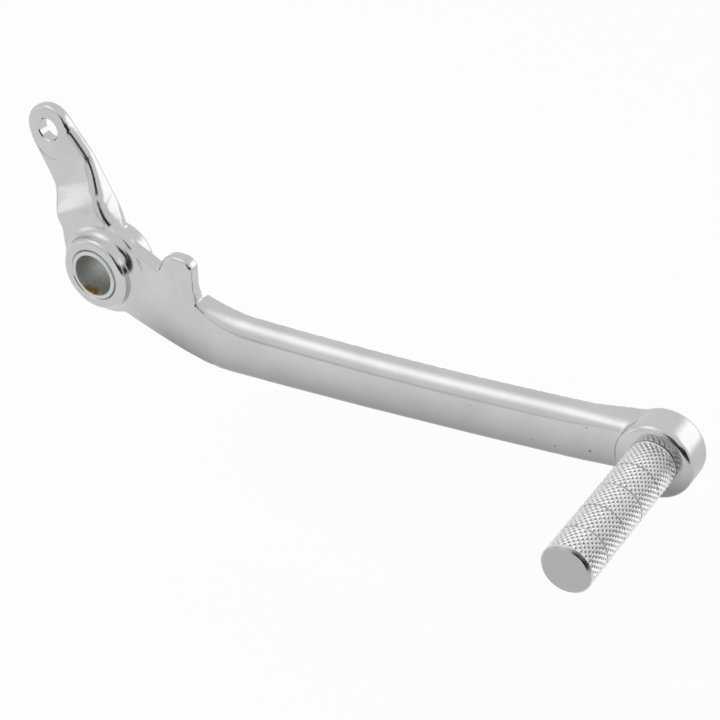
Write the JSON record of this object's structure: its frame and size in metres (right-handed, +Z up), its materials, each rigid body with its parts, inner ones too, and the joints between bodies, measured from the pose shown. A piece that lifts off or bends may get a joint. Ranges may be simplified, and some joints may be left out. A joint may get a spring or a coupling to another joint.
{
  "type": "brake pedal",
  "caption": "Motorcycle rear brake pedal: a forged and polished arm with a bushed pivot hub, an operating lever with a rod eye, a stop lug and a knurled toe peg.",
  "frame": {"origin": "on the pivot axis, at the middle of the hub's length", "axes": "+X from the pivot towards the toe peg, -Y outboard along the pivot and the peg, +Z up"},
  "size_m": [0.2694, 0.0762, 0.0852],
  "materials": {
    "polished_forging": "polished, with satin worn faces",
    "plated_bush": "zinc plated, dull bore with a little grease",
    "machined_peg": "diamond knurled, with a plain turned end"
  },
  "bodies": {
    "root": {"pedal_arm": "polished_forging", "pivot_bush": "plated_bush", "toe_peg": "machined_peg"}
  },
  "joints": []
}
